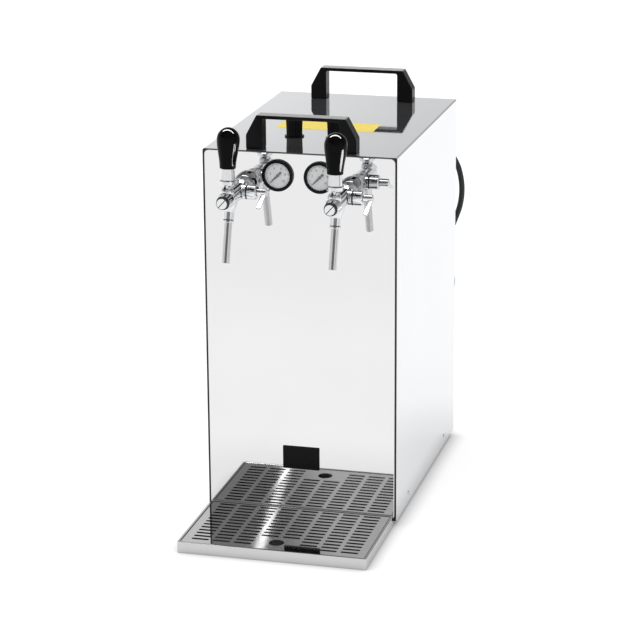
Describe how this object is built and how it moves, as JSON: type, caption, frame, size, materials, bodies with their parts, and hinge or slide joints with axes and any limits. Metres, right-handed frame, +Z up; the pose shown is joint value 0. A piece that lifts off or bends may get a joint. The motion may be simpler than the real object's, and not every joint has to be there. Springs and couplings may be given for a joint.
{
  "type": "draft beer dispenser",
  "caption": "Countertop dry beer cooler: steel cabinet with compensator taps, pressure gauges, regulator knobs, carry handles, slotted drip tray and rear push-fit beer and gas ports.",
  "frame": {"origin": "on the floor, under the middle of the object's footprint, cord left out", "axes": "+X to the viewer's right when facing the taps, +Y from the taps to the rear fittings, +Z up"},
  "size_m": [0.31, 0.8094, 0.6581],
  "materials": {
    "casing_steel": "bright stainless sheet",
    "polished_steel": "mirror-polished stainless sheet",
    "tap_chrome": "chrome plate",
    "plunger_steel": "turned stainless",
    "black_plastic": "moulded black",
    "black_gloss": "polished black",
    "black_rubber": "matt black",
    "dial_face": "silver-white enamel",
    "needle_black": "matt black",
    "clear_lens": "clear",
    "brass_fittings": "plain brass",
    "copper_lines": "plain copper",
    "aluminium": "cast and rolled",
    "painted_black": "satin black paint",
    "white_foam": "closed-cell foam",
    "beer_tube": "translucent tube",
    "gas_tube": "blue tube"
  },
  "bodies": {
    "cabinet": {"casing_cover": "casing_steel", "rear_panel": "casing_steel", "base_pan": "casing_steel", "front_panel": "polished_steel", "tap_shanks": "tap_chrome", "tap_rosettes": "tap_chrome", "coupling_nuts": "tap_chrome", "left_tap_body": "tap_chrome", "right_tap_body": "tap_chrome", "tap_front_plugs": "tap_chrome", "spouts": "tap_chrome", "casing_screws": "tap_chrome", "handle_screws": "tap_chrome", "beer_inlets": "tap_chrome", "front_carry_handle": "black_plastic", "rear_carry_handle": "black_plastic", "name_plate": "black_plastic", "regulator_nuts": "black_plastic", "gas_ports": "black_plastic", "thermostat": "black_plastic", "cable_gland": "black_plastic", "fan_shroud": "black_plastic", "gauge_cases": "black_gloss", "rubber_feet": "black_rubber", "panel_seal": "black_rubber", "compressor_grommets": "black_rubber", "mains_lead": "black_rubber", "lead_coil": "black_rubber", "plug": "black_rubber", "gauge_dials": "dial_face", "gauge_glasses": "clear_lens", "regulators": "brass_fittings", "refrigerant_lines": "copper_lines", "filter_drier": "copper_lines", "cooling_block": "aluminium", "condenser": "aluminium", "compressor": "painted_black", "fan_motor": "painted_black", "block_foam": "white_foam", "beer_lines": "beer_tube", "gas_lines": "gas_tube"},
    "left_handle": {"left_handle_stem": "tap_chrome", "left_handle_ferrule": "tap_chrome", "left_handle_grip": "black_gloss"},
    "right_handle": {"right_handle_stem": "tap_chrome", "right_handle_ferrule": "tap_chrome", "right_handle_grip": "black_gloss"},
    "left_valve": {"left_plunger": "plunger_steel"},
    "right_valve": {"right_plunger": "plunger_steel"},
    "left_lever": {"left_flow_lever": "tap_chrome"},
    "right_lever": {"right_flow_lever": "tap_chrome"},
    "left_needle": {"left_gauge_needle": "needle_black"},
    "right_needle": {"right_gauge_needle": "needle_black"},
    "left_knob": {"left_regulator_knob": "black_plastic"},
    "right_knob": {"right_regulator_knob": "black_plastic"},
    "cold_knob": {"thermostat_knob": "black_plastic"},
    "fan": {"fan_blade": "black_plastic"},
    "tray": {"drip_tray": "polished_steel"},
    "grid": {"drip_grid": "polished_steel"}
  },
  "joints": [
    {"name": "left_handle_pivot", "type": "hinge", "parent": "cabinet", "child": "left_handle", "pos_m": [-0.0835, -0.25355, 0.56], "axis": [1, 0, 0], "range_deg": [-12, 30]},
    {"name": "left_valve_slide", "type": "slide", "parent": "cabinet", "child": "left_valve", "axis": [0, 1, 0], "range_m": [-0.0023, 0.0058]},
    {"name": "left_lever_turn", "type": "hinge", "parent": "cabinet", "child": "left_lever", "pos_m": [-0.0835, -0.20105, 0.549], "axis": [1, 0, 0], "range_deg": [-60, 60]},
    {"name": "left_needle_turn", "type": "hinge", "parent": "cabinet", "child": "left_needle", "pos_m": [-0.0335, -0.14755, 0.5645], "axis": [0, 1, 0], "range_deg": [0, 270], "stiffness_Nm_per_rad": 0.0005, "springref_deg": -17.19},
    {"name": "left_knob_turn", "type": "hinge", "parent": "cabinet", "child": "left_knob", "pos_m": [-0.0375, -0.03355, 0.603], "axis": [0, 0, -1], "range_deg": [0, 1080]},
    {"name": "right_handle_pivot", "type": "hinge", "parent": "cabinet", "child": "right_handle", "pos_m": [0.0835, -0.25355, 0.56], "axis": [1, 0, 0], "range_deg": [-12, 30]},
    {"name": "right_valve_slide", "type": "slide", "parent": "cabinet", "child": "right_valve", "axis": [0, 1, 0], "range_m": [-0.0023, 0.0058]},
    {"name": "right_lever_turn", "type": "hinge", "parent": "cabinet", "child": "right_lever", "pos_m": [0.0835, -0.20105, 0.549], "axis": [1, 0, 0], "range_deg": [-60, 60]},
    {"name": "right_needle_turn", "type": "hinge", "parent": "cabinet", "child": "right_needle", "pos_m": [0.0335, -0.14755, 0.5645], "axis": [0, 1, 0], "range_deg": [0, 270], "stiffness_Nm_per_rad": 0.0005, "springref_deg": -17.19},
    {"name": "right_knob_turn", "type": "hinge", "parent": "cabinet", "child": "right_knob", "pos_m": [0.0295, -0.03355, 0.603], "axis": [0, 0, -1], "range_deg": [0, 1080]},
    {"name": "cold_knob_turn", "type": "hinge", "parent": "cabinet", "child": "cold_knob", "pos_m": [-0.1, 0.30745, 0.54], "axis": [0, -1, 0], "range_deg": [0, 270]},
    {"name": "fan_spin", "type": "hinge", "parent": "cabinet", "child": "fan", "pos_m": [0, 0.22875, 0.3302], "axis": [0, 1, 0], "continuous": true},
    {"name": "tray_pull", "type": "slide", "parent": "cabinet", "child": "tray", "axis": [0, -1, 0], "range_m": [0, 0.2]},
    {"name": "grid_lift", "type": "slide", "parent": "tray", "child": "grid", "axis": [0, 0, 1], "range_m": [0, 0.1]}
  ],
  "couplings": [
    {"joint": "left_valve_slide", "follows": "left_handle_pivot", "m_per_rad": 0.0107},
    {"joint": "right_valve_slide", "follows": "right_handle_pivot", "m_per_rad": 0.0107}
  ]
}
